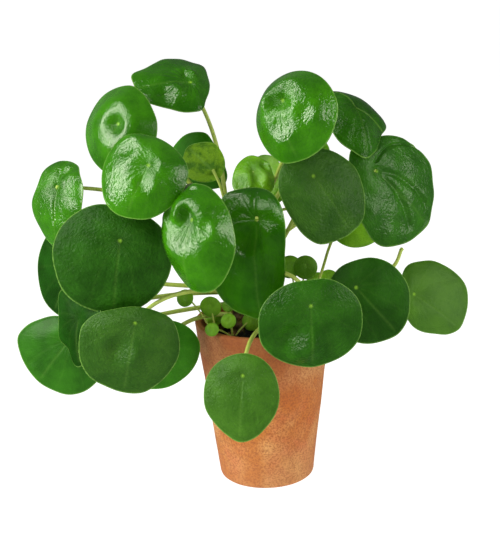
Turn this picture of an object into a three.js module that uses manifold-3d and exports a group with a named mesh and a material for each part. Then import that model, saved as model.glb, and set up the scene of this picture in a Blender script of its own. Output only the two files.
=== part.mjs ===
// A potted Chinese money plant (Pilea peperomioides): a plain tapered clay pot, potting soil, a main stem and
// a side stem, round peltate leaves on long stalks, and small offset plantlets at the foot of the stems.
// Millimetres, +Z up. The origin is the middle of the pot's underside, and the plant's best side faces -Y.

import * as THREE from "three";
import { mergeVertices } from "three/addons/utils/BufferGeometryUtils.js";
import Module from "manifold-3d";

const wasm = await Module();
wasm.setup();

// ---- driving dimensions ----

const POT_HEIGHT = 134;
const POT_BASE_RADIUS = 38.5;
const POT_RIM_RADIUS = 55;
const POT_WALL = 5;
const POT_FLOOR = 8;
const POT_BASE_ROUNDING = 3;
const POT_RIM_ROUNDING = 1.8;
const POT_FLOOR_ROUNDING = 5;
const POT_SEGMENTS = 48;
const ROUNDING_STEPS = 3;
const DRAIN_HOLE_COUNT = 3;
const DRAIN_HOLE_RADIUS = 2.5;
const DRAIN_HOLE_SEGMENTS = 12;
const DRAIN_RING_RADIUS = 20;

const SOIL_TOP = 121;
const SOIL_MOUND = 3;
const SOIL_CLEARANCE = 0.5;
const SOIL_SEGMENTS = 32;
const SOIL_MOUND_SHARES = [1, 0.75, 0.4, 0]; // the rings of its top, as shares of the way out to the pot

const GAP = 0.3; // clear space between two solids that touch
const MERGE_DISTANCE = 1e-4;
const HEIGHT_HALVINGS = 30; // halvings in the search for the place on a stem at a height

const BLADE_THICKNESS = 1.4;
const RIM_THICKNESS = 0.9;
const BLADE_SEGMENTS = 16;
const BLADE_RINGS = [0.35, 0.7, 1]; // the rings of its upper face, as shares of the way out to the edge
const UNDERSIDE_RINGS = [0.99, 0.5]; // the rings of its underside, in from the edge
const DIMPLE_DEPTH = 1.5;
const DIMPLE_END = 5 / 6; // the share of the way out to the edge where the dimple's shoulder ends

const STALK_FOOT_RADIUS = 1.95;
const STALK_TIP_RADIUS = 1.45;
const STALK_SIDES = 6;
const STALK_STEPS = 7;
const BEND_LEAD = 0.38; // how far a stalk keeps its first and last heading, as a share of its span
const STEM_SIDES = 10;
const STEM_STEPS = 6;

const SMALL_BLADE_SEGMENTS = 10;
const SMALL_BLADE_RINGS = [0.5, 1];
const SMALL_BLADE_THICKNESS = 1;
const SMALL_RIM_THICKNESS = 0.7;
const SMALL_STALK_RADIUS = 1.2;
const SMALL_STALK_STEPS = 5;
const SMALL_STALK_TOP = 2; // how far behind the joint the stalk's middle line ends

const YOUNG_STALK_RADIUS = 0.7;
const YOUNG_CROWN_RADIUS = 1.8;
const YOUNG_CROWN_TOP_RADIUS = 1.4;
const YOUNG_CROWN_HEIGHT = 4;
const YOUNG_KNEE = { out: 0.4, up: 0.7 }; // where a young stalk bends, as shares of its way out and up
const YOUNG_DROOP = 0.15; // as a share of the blade's radius
const YOUNG_DIMPLE = 0.4;
const YOUNG_BLADE_SHAPE = [0.8, 0.85, 1, 1.15, 1.2, 1.15, 1, 0.85]; // reach as shares of the blade's radius

// ---- colours and finishes ----

const FINISHES = {
  clay: { color: 0xc4704a, roughness: 0.85, metalness: 0 },
  soil: { color: 0x2a1c14, roughness: 1, metalness: 0 },
  bark: { color: 0x6b4a2f, roughness: 0.9, metalness: 0 },
  blade: { color: 0x2c6a17, roughness: 0.3, metalness: 0 },
  youngBlade: { color: 0x6fa01c, roughness: 0.35, metalness: 0 },
  stalk: { color: 0x93a53c, roughness: 0.5, metalness: 0 },
};

// ---- the stems ----
// Each stem is a smooth curve through these points, which starts in the soil. It has a radius at foot and tip.

const STEMS = {
  main: {
    path: [[-20, 2, 100], [-21, 2, 135], [-20, 3, 175], [-17, 4, 214]],
    radius: [6.5, 4.5],
  },
  side: {
    path: [[27, 5, 104], [30, 4, 125], [34, 2, 143], [36, 2, 157]],
    radius: [4, 3],
  },
};

// ---- the leaves ----
// joint   where the stalk meets the blade's upper face, in mm
// face    which way the blade's upper face looks: degrees to the right of straight ahead (-Y), degrees up
// reach   from the joint to the blade's edge, in mm, every 45 degrees clockwise from the blade's top
// droop   how far the edge falls behind the joint, in mm
// fold    a bend: how far two opposite edges come forward, in mm, and their direction clockwise from the top
// dimple  how far the surface around the joint stands out from it, in mm
// stalk   the stem it grows from, the height of its foot, and the way it leaves the stem: right, up
// arrive  the way the stalk is heading where it meets the blade: right, up

const LEAVES = {
  "01": {
    joint: [-51, 25, 322], face: [15, 55], reach: [34, 23, 16, 16, 27, 30, 42, 39], droop: 5,
    stalk: ["main", 204, -90, 87], arrive: [-80, 60],
  },
  "02": {
    joint: [-105, -20, 298], face: [-28, 22], reach: [32, 26, 28, 33, 38, 37, 36, 34], droop: 10, dimple: 5,
    stalk: ["main", 196, -95, 60], arrive: [-80, 30],
  },
  "03": {
    joint: [-80, -70, 275], face: [-8, 25], reach: [24, 22, 27, 30, 37, 42, 36, 32], droop: 9, dimple: 2,
    stalk: ["main", 186, -50, 60], arrive: [-40, 30],
  },
  "04": {
    joint: [-157, -10, 249], face: [-40, 18], reach: [21, 22, 30, 33, 48, 36, 21, 24], droop: 5, fold: [6, 90],
    stalk: ["main", 190, -95, 45], arrive: [-75, 5],
  },
  "05": {
    joint: [-105, -60, 217], face: [-3, 5], reach: [24, 25, 35, 46, 57, 61, 51, 35], droop: 7,
    stalk: ["main", 176, -60, 45], arrive: [-40, -10],
  },
  "06": {
    joint: [-150, 0, 180], face: [-30, 5], reach: [35, 31, 31, 36, 45, 48, 41, 38], droop: 6,
    stalk: ["main", 160, -95, 0], arrive: [-80, 20],
  },
  "07": {
    joint: [-153, -30, 130], face: [-15, 5], reach: [15, 16, 24, 36, 46, 48, 46, 24], droop: 5,
    stalk: ["main", 146, -80, -2], arrive: [-75, -12],
  },
  "08": {
    joint: [-142, -45, 153], face: [-40, 10], reach: [19, 22, 24, 20, 33, 28, 22, 26], droop: 4, fold: [5, 90],
    stalk: ["main", 156, -72, 6], arrive: [-65, -12],
  },
  "09": {
    joint: [-96, -75, 157], face: [0, -3], reach: [10, 12, 26, 43, 60, 58, 38, 14], droop: 6,
    stalk: ["main", 157, -38, 18], arrive: [-35, -28],
  },
  "10": {
    joint: [-79, -45, 130], face: [3, -8], reach: [18, 20, 28, 34, 42, 47, 40, 26], droop: 4,
    stalk: ["main", 138, -55, 12], arrive: [-55, -35],
  },
  "11": {
    joint: [-50, -85, 237], face: [-32, 10], reach: [25, 22, 26, 40, 54, 41, 35, 30], droop: 13, dimple: 4,
    stalk: ["main", 181, -75, 45], arrive: [20, 15],
  },
  "12": {
    joint: [-3, -45, 226], face: [-28, 8], reach: [22, 21, 24, 31, 78, 63, 34, 28], droop: 5, fold: [7, 90],
    stalk: ["main", 200, 10, 60], arrive: [-30, 10],
  },
  "13": {
    joint: [19, -50, 316], face: [-28, 18], reach: [23, 30, 39, 44, 44, 32, 24, 21], droop: 10, dimple: 4,
    stalk: ["main", 205, 80, 60], arrive: [-25, 50],
  },
  "14": {
    joint: [77, 5, 301], face: [40, 45], reach: [26, 27, 31, 30, 36, 31, 21, 19], droop: 12,
    stalk: ["main", 190, 90, 60], arrive: [70, 40],
  },
  "15": {
    joint: [93, 0, 251], face: [32, 12], reach: [23, 36, 58, 70, 59, 31, 22, 25], droop: 6,
    stalk: ["main", 166, 75, 62], arrive: [75, 40],
  },
  "16": {
    joint: [41, -40, 257], face: [18, 12], reach: [20, 25, 38, 54, 51, 31, 26, 22], droop: 5,
    stalk: ["main", 153, 65, 50], arrive: [20, 50],
  },
  "19": {
    joint: [-42, 30, 257], face: [-25, 0], reach: [22, 13, 14, 23, 23, 28, 34, 28], droop: 3,
    stalk: ["main", 205, 180, 40], arrive: [-60, 65],
  },
  "20": {
    joint: [-17, -85, 116], face: [-12, 12], reach: [16, 18, 24, 36, 51, 40, 27, 18], droop: 3,
    stalk: ["side", 127, -48, 22], arrive: [-15, -75],
  },
  "21": {
    joint: [35, -85, 169], face: [3, -5], reach: [18, 24, 36, 49, 52, 49, 35, 22], droop: 5,
    stalk: ["main", 160, 30, 45], arrive: [10, -45],
  },
  "22": {
    joint: [72, -45, 170], face: [0, 12], reach: [20, 29, 40, 49, 43, 29, 21, 19], droop: 4,
    stalk: ["side", 139, 30, 30], arrive: [30, 0],
  },
  "23": {
    joint: [124, 10, 146], face: [20, 20], reach: [20, 34, 46, 49, 27, 14, 10, 12], droop: 3,
    stalk: ["side", 131, 80, 35], arrive: [80, -10],
  },
};

// Young leaves and leaves at the back are each one solid with their thin stalk. Their fields read as above.

const SMALL_LEAVES = {
  "17": {
    joint: [-4, -12, 256], face: [5, 40], reach: [16, 15, 15, 20, 24, 21, 15, 14], droop: 3, dimple: 2,
    stalk: ["main", 213, 30, 75], arrive: [0, 70],
  },
  "18": {
    joint: [-35, 0, 255], face: [-165, 5], reach: [23, 30, 23, 10, 7, 6, 7, 12], droop: 2,
    stalk: ["main", 209, -60, 70], arrive: [-110, 60],
  },
  "24": {
    joint: [71, 50, 199], face: [-5, 10], reach: [27, 34, 38, 28, 20, 15, 14, 22], droop: 3,
    stalk: ["side", 150, 80, 60], arrive: [70, 50],
  },
  "25": {
    joint: [8, 20, 243], face: [-30, 25], reach: [19, 14, 16, 22, 19, 17, 18, 24], droop: 3,
    stalk: ["main", 212, 110, 70], arrive: [60, 60],
  },
  "26": {
    joint: [40, 45, 254], face: [-10, 30], reach: [19, 22, 18, 16, 16, 17, 19, 20], droop: 3,
    stalk: ["main", 199, 165, 60], arrive: [120, 40],
  },
  "27": {
    joint: [-98, 60, 175], face: [-150, 25], reach: [18, 19, 22, 26, 28, 26, 22, 19], droop: 5,
    stalk: ["main", 170, -140, 35], arrive: [-130, 0],
  },
  "28": {
    joint: [-16, 65, 187], face: [175, 25], reach: [20, 23, 28, 33, 36, 33, 28, 23], droop: 5,
    stalk: ["main", 178, 170, 40], arrive: [180, 0],
  },
  "29": {
    joint: [62, 88, 212], face: [150, 35], reach: [18, 21, 26, 30, 32, 30, 26, 21], droop: 5,
    stalk: ["main", 206, 115, 30], arrive: [130, 10],
  },
  "30": {
    joint: [63, 55, 125], face: [150, 20], reach: [16, 19, 24, 28, 30, 28, 24, 19], droop: 4,
    stalk: ["side", 143, 175, 45], arrive: [110, -50],
  },
};

// A stalk that has lost its leaf: its stem and the way it leaves it, its tip, and the way it is heading there.
const BARE_STALK = { stalk: ["side", 139, 100, 45], tip: [112, 0, 186], arrive: [20, 75] };

// ---- young plants ----
// Each rises from one spot on the soil, and each of its leaves has a joint, a face and a blade radius.

const YOUNG_PLANTS = {
  young_plant_right: {
    foot: [29, -16],
    leaves: [
      { joint: [35, -12, 180], face: [0, 20], radius: 9 },
      { joint: [23, 2, 177], face: [-10, 30], radius: 9 },
      { joint: [20, -8, 157], face: [-20, 30], radius: 5 },
    ],
  },
  young_plant_far_right: {
    foot: [40, 18],
    leaves: [
      { joint: [46, 12, 160], face: [0, 40], radius: 9 },
      { joint: [56, 18, 161], face: [15, 40], radius: 8 },
    ],
  },
  young_plant_left: {
    foot: [-38, -26],
    leaves: [
      { joint: [-61, -21, 160], face: [-20, 20], radius: 6.5 },
      { joint: [-41, -24, 153], face: [-10, 0], radius: 8 },
      { joint: [-40, 4, 135], face: [-10, 30], radius: 7 },
    ],
  },
  young_plant_front: {
    foot: [-24, -26],
    leaves: [
      { joint: [-27, -34, 144], face: [0, 20], radius: 5.5 },
      { joint: [-40, -42, 140], face: [-10, 30], radius: 5 },
      { joint: [-27, -24, 153], face: [20, 20], radius: 4.5 },
      { joint: [-9, -18, 138], face: [0, 20], radius: 7 },
    ],
  },
};

// ---- helpers ----

const X = new THREE.Vector3(1, 0, 0);
const UP = new THREE.Vector3(0, 0, 1);
const vector = (point) => new THREE.Vector3(...point);

// A unit vector that points the given degrees to the right of straight ahead (-Y), and the given degrees up.
function heading([right, up]) {
  const azimuth = THREE.MathUtils.degToRad(right);
  const elevation = THREE.MathUtils.degToRad(up);
  const level = Math.cos(elevation);
  return new THREE.Vector3(Math.sin(azimuth) * level, -Math.cos(azimuth) * level, Math.sin(elevation));
}

// A closed surface over a row of rings. The first and last ring are single points, and the others are alike.
function skin(rings) {
  const positions = rings.flat().flatMap((point) => point.toArray());
  const sides = rings[1].length;
  const last = positions.length / 3 - 1;
  const at = (ring, side) => 1 + (ring - 1) * sides + (side % sides);
  const triangles = [];
  for (let side = 0; side < sides; side += 1) {
    triangles.push([0, at(1, side), at(1, side + 1)]);
    triangles.push([at(rings.length - 2, side + 1), at(rings.length - 2, side), last]);
    for (let ring = 1; ring < rings.length - 2; ring += 1) {
      triangles.push([at(ring, side), at(ring + 1, side), at(ring + 1, side + 1)]);
      triangles.push([at(ring, side), at(ring + 1, side + 1), at(ring, side + 1)]);
    }
  }
  const corner = (index) => new THREE.Vector3().fromArray(positions, index * 3);
  const volume = triangles.reduce((sum, [a, b, c]) => sum + corner(a).dot(corner(b).cross(corner(c))), 0);
  const outward = volume > 0 ? triangles : triangles.map((triangle) => triangle.reverse());
  const geometry = new THREE.BufferGeometry();
  geometry.setAttribute("position", new THREE.Float32BufferAttribute(positions, 3));
  geometry.setIndex(outward.flat());
  geometry.computeVertexNormals();
  return geometry;
}

// Rings of a tube along a curve, each turned as little as possible from the one before it.
function tubeRings(curve, steps, radiusAt, sides, firstUp) {
  const rings = [];
  let up = firstUp.clone();
  for (let step = 0; step <= steps; step += 1) {
    const share = step / steps;
    const centre = curve.getPoint(share);
    const tangent = curve.getTangent(share);
    up = up.clone().addScaledVector(tangent, -up.dot(tangent)).normalize();
    const right = tangent.clone().cross(up);
    const radius = radiusAt(share);
    const ring = [];
    for (let side = 0; side < sides; side += 1) {
      const angle = (2 * Math.PI * side) / sides;
      const spoke = up.clone().multiplyScalar(Math.cos(angle)).addScaledVector(right, Math.sin(angle));
      ring.push(centre.clone().addScaledVector(spoke, radius));
    }
    rings.push(ring);
  }
  return rings;
}

function tube(curve, steps, radiusAt, sides, firstUp) {
  const rings = tubeRings(curve, steps, radiusAt, sides, firstUp);
  return skin([[curve.getPoint(0)], ...rings, [curve.getPoint(1)]]);
}

function solid(geometry) {
  const bare = geometry.clone();
  bare.deleteAttribute("normal");
  bare.deleteAttribute("uv");
  const merged = mergeVertices(bare, MERGE_DISTANCE);
  const vertProperties = new Float32Array(merged.getAttribute("position").array);
  const triVerts = new Uint32Array(merged.getIndex().array);
  return new wasm.Manifold(new wasm.Mesh({ numProp: 3, vertProperties, triVerts }));
}

function geometryOf(manifold) {
  const mesh = manifold.getMesh();
  const geometry = new THREE.BufferGeometry();
  geometry.setAttribute("position", new THREE.BufferAttribute(mesh.vertProperties, mesh.numProp));
  geometry.setIndex(new THREE.BufferAttribute(mesh.triVerts, 1));
  geometry.computeVertexNormals();
  return geometry;
}

// A solid of revolution about Z from a profile of [radius, height] points that starts and ends on the axis.
function turned(profile, segments) {
  const points = profile.map(([radius, height]) => new THREE.Vector2(radius, height));
  return new THREE.LatheGeometry(points, segments).rotateX(Math.PI / 2);
}

// ---- pot and soil ----

const wallSlope = (POT_RIM_RADIUS - POT_BASE_RADIUS) / POT_HEIGHT;
const outerRadius = (height) => POT_BASE_RADIUS + wallSlope * height;
const innerRadius = (height) => outerRadius(height) - POT_WALL;

// A profile through corners of [radius, height, rounding]. A corner with a rounding becomes a short curve.
function roundedProfile(corners) {
  const point = ([radius, height]) => new THREE.Vector2(radius, height);
  return corners.flatMap((corner, index) => {
    const [radius, height, rounding] = corner;
    if (!rounding) {
      return [[radius, height]];
    }
    const toward = (other) => point(other).sub(point(corner)).setLength(rounding).add(point(corner));
    const before = toward(corners[index - 1]);
    const after = toward(corners[index + 1]);
    const curve = new THREE.QuadraticBezierCurve(before, point(corner), after);
    return curve.getPoints(ROUNDING_STEPS).map(({ x, y }) => [x, y]);
  });
}

function potGeometry() {
  const profile = roundedProfile([
    [0, 0],
    [POT_BASE_RADIUS, 0, POT_BASE_ROUNDING],
    [POT_RIM_RADIUS, POT_HEIGHT, POT_RIM_ROUNDING],
    [innerRadius(POT_HEIGHT), POT_HEIGHT, POT_RIM_ROUNDING],
    [innerRadius(POT_FLOOR), POT_FLOOR, POT_FLOOR_ROUNDING],
    [0, POT_FLOOR],
  ]);
  let pot = solid(turned(profile, POT_SEGMENTS));
  for (let hole = 0; hole < DRAIN_HOLE_COUNT; hole += 1) {
    const angle = (2 * Math.PI * (hole + 0.5)) / DRAIN_HOLE_COUNT;
    const drill = new THREE.CylinderGeometry(
      DRAIN_HOLE_RADIUS, DRAIN_HOLE_RADIUS, 4 * POT_FLOOR, DRAIN_HOLE_SEGMENTS,
    );
    drill.rotateX(Math.PI / 2);
    drill.translate(DRAIN_RING_RADIUS * Math.cos(angle), DRAIN_RING_RADIUS * Math.sin(angle), 0);
    pot = pot.subtract(solid(drill));
  }
  return geometryOf(pot);
}

function stemCurve(name) {
  return new THREE.CatmullRomCurve3(STEMS[name].path.map(vector));
}

function stemGeometry(name, extra = 0) {
  const [foot, tip] = STEMS[name].radius;
  const radiusAt = (share) => foot + (tip - foot) * share + extra;
  return tube(stemCurve(name), STEM_STEPS, radiusAt, STEM_SIDES, X);
}

// The height of the soil's low mound at a distance from the pot's middle.
function soilHeight(distance) {
  return SOIL_TOP + SOIL_MOUND * (1 - (distance / innerRadius(SOIL_TOP)) ** 2);
}

// The soil fills the pot up to the mound, with a socket for each stem.
function soilGeometry() {
  const edge = innerRadius(SOIL_TOP) - SOIL_CLEARANCE;
  const mound = SOIL_MOUND_SHARES.map((share) => [edge * share, soilHeight(edge * share)]);
  const profile = roundedProfile([
    [0, POT_FLOOR + GAP],
    [innerRadius(POT_FLOOR) - SOIL_CLEARANCE, POT_FLOOR + GAP, POT_FLOOR_ROUNDING],
    ...mound,
  ]);
  let soil = solid(turned(profile, SOIL_SEGMENTS));
  for (const name of Object.keys(STEMS)) {
    soil = soil.subtract(solid(stemGeometry(name, GAP)));
  }
  return geometryOf(soil);
}

// ---- leaves ----

// The blade's own axes: straight out of its upper face, its top and its right-hand side as the face is seen.
function bladeAxes(face) {
  const out = heading(face);
  const right = UP.clone().cross(out).normalize();
  const top = out.clone().cross(right);
  return { out, right, top };
}

// The blade's edge as offsets from the joint, evenly spaced along a smooth curve through its eight reaches.
function edgeOffsets(leaf, axes, segments) {
  const corners = leaf.reach.map((reach, index) => {
    const angle = (2 * Math.PI * index) / leaf.reach.length;
    const offset = axes.top.clone().multiplyScalar(reach * Math.cos(angle));
    return offset.addScaledVector(axes.right, reach * Math.sin(angle));
  });
  const edge = new THREE.CatmullRomCurve3(corners, true, "centripetal");
  return edge.getSpacedPoints(segments).slice(0, segments);
}

// How far the blade's surface stands out from the joint's plane, at a share of the way out to the edge.
function standOut(leaf, axes, offset, share) {
  const angle = Math.atan2(offset.dot(axes.right), offset.dot(axes.top));
  const [foldDepth, foldAngle] = leaf.fold ?? [0, 0];
  const folded = foldDepth * Math.cos(2 * (angle - THREE.MathUtils.degToRad(foldAngle)));
  const shoulder = (leaf.dimple ?? DIMPLE_DEPTH) * Math.sin(Math.PI * Math.min(1, share / DIMPLE_END));
  return shoulder + (folded - leaf.droop) * share ** 2;
}

function bladeRings(leaf, axes, segments, shares, thickness, rimThickness) {
  const joint = vector(leaf.joint);
  const offsets = edgeOffsets(leaf, axes, segments);
  const ring = (share, sink) => offsets.map((offset) => {
    const height = standOut(leaf, axes, offset, share) - sink;
    return joint.clone().addScaledVector(offset, share).addScaledVector(axes.out, height);
  });
  const upper = shares.map((share) => ring(share, 0));
  const [edge, middle] = UNDERSIDE_RINGS;
  const lower = [ring(edge, rimThickness), ring(middle, thickness)];
  return [[joint], ...upper, ...lower];
}

function bladeGeometry(leaf) {
  const axes = bladeAxes(leaf.face);
  const rings = bladeRings(leaf, axes, BLADE_SEGMENTS, BLADE_RINGS, BLADE_THICKNESS, RIM_THICKNESS);
  const under = vector(leaf.joint).addScaledVector(axes.out, -BLADE_THICKNESS);
  return skin([...rings, [under]]);
}

// The point on a stem's middle line at a height, and the stem's radius there.
function stemAt(name, height) {
  const curve = stemCurve(name);
  let low = 0;
  let high = 1;
  for (let halving = 0; halving < HEIGHT_HALVINGS; halving += 1) {
    const middle = (low + high) / 2;
    if (curve.getPoint(middle).z < height) {
      low = middle;
    } else {
      high = middle;
    }
  }
  const [foot, tip] = STEMS[name].radius;
  return { centre: curve.getPoint(low), radius: foot + (tip - foot) * low };
}

// Where a stalk starts, just clear of its stem, for the way it leaves by.
function stalkFoot([stemName, height, right, up], radius) {
  const stem = stemAt(stemName, height);
  const lift = Math.sin(THREE.MathUtils.degToRad(Math.abs(up)));
  return stem.centre.addScaledVector(heading([right, 0]), stem.radius + GAP + radius * lift);
}

// A bend from a start that is left by one heading to an end that is reached by another.
function bend(start, leaving, end, arriving) {
  const lead = start.distanceTo(end) * BEND_LEAD;
  const first = start.clone().addScaledVector(leaving, lead);
  const second = end.clone().addScaledVector(arriving, -lead);
  return new THREE.CubicBezierCurve3(start, first, second, end);
}

// The stalk's middle line, from just off its stem to just under the blade.
function stalkCurve(leaf) {
  const arriving = heading(leaf.arrive);
  const out = heading(leaf.face);
  const slant = Math.sqrt(Math.max(0, 1 - out.dot(arriving) ** 2));
  const end = vector(leaf.joint).addScaledVector(out, -(BLADE_THICKNESS + GAP + STALK_TIP_RADIUS * slant));
  const start = stalkFoot(leaf.stalk, STALK_FOOT_RADIUS);
  return bend(start, heading(leaf.stalk.slice(2)), end, arriving);
}

const stalkRadiusAt = (share) => STALK_FOOT_RADIUS + (STALK_TIP_RADIUS - STALK_FOOT_RADIUS) * share;

function stalkGeometry(leaf) {
  return tube(stalkCurve(leaf), STALK_STEPS, stalkRadiusAt, STALK_SIDES, UP);
}

function bareStalkGeometry() {
  const { stalk, tip, arrive } = BARE_STALK;
  const start = stalkFoot(stalk, STALK_FOOT_RADIUS);
  const curve = bend(start, heading(stalk.slice(2)), vector(tip), heading(arrive));
  return tube(curve, STALK_STEPS, stalkRadiusAt, STALK_SIDES, UP);
}

// One solid of a small blade and its stalk, whose middle line runs from under the blade down to its foot.
function leafWithStalk(leaf, lineBelow, stalkRadius) {
  const axes = bladeAxes(leaf.face);
  const sides = SMALL_BLADE_SEGMENTS;
  const blade = bladeRings(leaf, axes, sides, SMALL_BLADE_RINGS, SMALL_BLADE_THICKNESS, SMALL_RIM_THICKNESS);
  const stalk = tubeRings(lineBelow, SMALL_STALK_STEPS, () => stalkRadius, sides, axes.top);
  return skin([...blade, ...stalk, [lineBelow.getPoint(1)]]);
}

function smallLeafGeometry(leaf) {
  const under = vector(leaf.joint).addScaledVector(heading(leaf.face), -SMALL_STALK_TOP);
  const start = stalkFoot(leaf.stalk, SMALL_STALK_RADIUS);
  const rising = bend(start, heading(leaf.stalk.slice(2)), under, heading(leaf.arrive));
  const lineBelow = new THREE.CubicBezierCurve3(rising.v3, rising.v2, rising.v1, rising.v0);
  return leafWithStalk(leaf, lineBelow, SMALL_STALK_RADIUS);
}

// ---- young plants ----

// A young plant's leaves share a short crown that stands on the soil.
function youngPlantGeometry(plan) {
  const [x, y] = plan.foot;
  const base = soilHeight(Math.hypot(x, y) - YOUNG_CROWN_RADIUS) + GAP;
  const crown = turned(
    [[0, 0], [YOUNG_CROWN_RADIUS, 0], [YOUNG_CROWN_TOP_RADIUS, YOUNG_CROWN_HEIGHT], [0, YOUNG_CROWN_HEIGHT]],
    STEM_SIDES,
  );
  let youngPlant = solid(crown.translate(x, y, base));
  for (const { joint, face, radius } of plan.leaves) {
    const reach = YOUNG_BLADE_SHAPE.map((share) => share * radius);
    const leaf = { joint, face, reach, droop: radius * YOUNG_DROOP, dimple: YOUNG_DIMPLE };
    const under = vector(joint).addScaledVector(heading(face), -SMALL_STALK_TOP);
    const foot = new THREE.Vector3(x, y, base + YOUNG_CROWN_HEIGHT / 2);
    const knee = foot.clone().lerp(under, YOUNG_KNEE.out).setZ(foot.z + (under.z - foot.z) * YOUNG_KNEE.up);
    const lineBelow = new THREE.QuadraticBezierCurve3(under, knee, foot);
    youngPlant = youngPlant.add(solid(leafWithStalk(leaf, lineBelow, YOUNG_STALK_RADIUS)));
  }
  return geometryOf(youngPlant);
}

// ---- assembly ----

const plant = new THREE.Group();

function add(name, geometry, finish) {
  const mesh = new THREE.Mesh(geometry, new THREE.MeshStandardMaterial(FINISHES[finish]));
  mesh.name = name;
  plant.add(mesh);
}

add("pot", potGeometry(), "clay");
add("soil", soilGeometry(), "soil");
add("main_stem", stemGeometry("main"), "bark");
add("side_stem", stemGeometry("side"), "bark");
for (const [number, leaf] of Object.entries(LEAVES)) {
  add(`leaf_${number}`, bladeGeometry(leaf), "blade");
  add(`stalk_${number}`, stalkGeometry(leaf), "stalk");
}

add("bare_stalk", bareStalkGeometry(), "stalk");
for (const [number, leaf] of Object.entries(SMALL_LEAVES)) {
  add(`leaf_${number}`, smallLeafGeometry(leaf), "youngBlade");
}
for (const [name, plan] of Object.entries(YOUNG_PLANTS)) {
  add(name, youngPlantGeometry(plan), "youngBlade");
}

export default plant;
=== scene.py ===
"""The looks of a potted plant with round, shield-shaped leaves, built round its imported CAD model.

Every leaf, stalk and stem is read back from its CAD node and made again as a fine mesh in the same
place, with the relief and the finish that the CAD solid leaves out. Lengths are in metres, and the
looks table is in millimetres and degrees.
"""

import math
from dataclasses import dataclass, field
from functools import cache

import bmesh
import bpy
import numpy as np
from mathutils import Color, Matrix, Vector, noise


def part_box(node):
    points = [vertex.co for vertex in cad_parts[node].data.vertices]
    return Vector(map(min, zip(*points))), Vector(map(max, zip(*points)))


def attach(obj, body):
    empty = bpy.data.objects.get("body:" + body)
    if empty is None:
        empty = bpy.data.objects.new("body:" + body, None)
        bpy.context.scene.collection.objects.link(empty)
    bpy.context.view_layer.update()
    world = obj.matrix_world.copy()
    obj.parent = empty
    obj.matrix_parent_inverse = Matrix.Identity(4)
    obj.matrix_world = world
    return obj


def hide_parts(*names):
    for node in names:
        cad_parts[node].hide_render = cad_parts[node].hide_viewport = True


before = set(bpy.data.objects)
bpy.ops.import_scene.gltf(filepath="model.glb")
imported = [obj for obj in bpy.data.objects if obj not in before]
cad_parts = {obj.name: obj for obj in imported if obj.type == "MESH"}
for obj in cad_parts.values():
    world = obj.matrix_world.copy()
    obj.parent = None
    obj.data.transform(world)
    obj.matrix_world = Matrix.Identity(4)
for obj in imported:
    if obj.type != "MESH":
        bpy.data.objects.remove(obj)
bpy.context.view_layer.update()
scene = bpy.context.scene

MM = 0.001
UP = np.array([0.0, 0.0, 1.0])
WELD_DISTANCE = 1e-5
BODY = "root"

# ---- the photograph's view ----

CAMERA_AIM = Vector((-0.009, 0, 0.171))
CAMERA_DISTANCE = 1.0
CAMERA_ELEVATION = math.radians(16)
CAMERA_ROLL = math.radians(-1.9)
CAMERA_LENS = 82.1

# ---- how the CAD solids are built, which reading them back needs ----

# Segments and sides are the points in a ring, and levels count the rings from a blade's joint.
BLADE_SEGMENTS = 16
BLADE_FIRST_RING = 0.35
BLADE_RIM_LEVEL = 3
SMALL_SEGMENTS = 10
SMALL_FIRST_RING = 0.5
SMALL_RIM_LEVEL = 2
SMALL_UNDERSIDE_LEVEL = 4
SMALL_LEAST_RADIUS = 1.8 * MM
DIMPLE_END = 5 / 6
CAD_STALK_SIDES = 6
CAD_STEM_SIDES = 10

# ---- fineness of the new meshes ----

BLADE_RINGS = 40
BLADE_SPOKES = 160
SMALL_RINGS = 22
SMALL_SPOKES = 80
FINE_LEAF_RADIUS = 12 * MM
RIM_TURNS = (45, 90, 135)
STALK_SIDES = 16
STALK_RINGS = 56
STEM_SIDES = 36
STEM_RINGS = 110

# ---- leaves and stalks ----

# Thicknesses are at the joint and at the rim. Flares and a tube's end reach are shares of its radius.
LEAF_THICKNESSES = (1.0 * MM, 0.6 * MM)
SMALL_THICKNESSES = (0.7 * MM, 0.45 * MM)
EDGE_GROWTH = 0.4 * MM
FUNNEL_STEEPNESS = 1.4
RIM_CURL_START = 0.86
SPOT_RADIUS = 1.3 * MM
SMALL_SPOT_RADIUS = 1.0 * MM
SIDE_VEINS = (34, 66, 98, 132, 164)
SIDE_VEIN_STRENGTH = 0.25
VEIN_BEND = 16
VEIN_WIDTH = 1.0 * MM
VEIN_SPAN = (0.12, 0.85)
RIDGE_PALENESS = 5.0
RIDGE_LINE_WIDTH = 0.6
WAVE_LENGTH = 17 * MM
WAVES_FULL_AT = 0.5
PLEAT_COUNT = 22
PLEAT_TWIST = 3
PLEAT_SPAN = (0.2, 0.45)
PLEAT_FADE = 0.15
STALK_TOP_REACH = 1.9 * MM
STALK_TOP_FLARE = 1.15
STALK_FOOT_REACH = 0.9 * MM
STALK_FOOT_FLARE = 1.35
TUBE_END = 0.5
SMALL_LEAF_SEED = 100

# ---- what sets each leaf apart ----

# Headings are clockwise from a leaf's top, and shares are of the way from its joint to its edge. The
# glint azimuth is half way from the camera to the left softbox, so a patch that faces it mirrors that.
MATTE = 0.1
SATIN = 0.35
GLINT_AZIMUTH = -32


@dataclass
class Lobe:
    """A place where the edge reaches further out than the CAD blade, or less far below 0."""

    heading: float
    reach: float
    spread: float


@dataclass
class Facet:
    """A flattened patch, at a distance from the joint, and the direction that it faces."""

    heading: float
    distance: float
    size: float
    elevation: float
    azimuth: float = GLINT_AZIMUTH


@dataclass
class Crease:
    """A pale ridge, or a groove where its height is below 0. By the edge it has turned by its bend."""

    heading: float
    height: float
    width: float
    start: float
    end: float
    bend: float = 0


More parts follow.
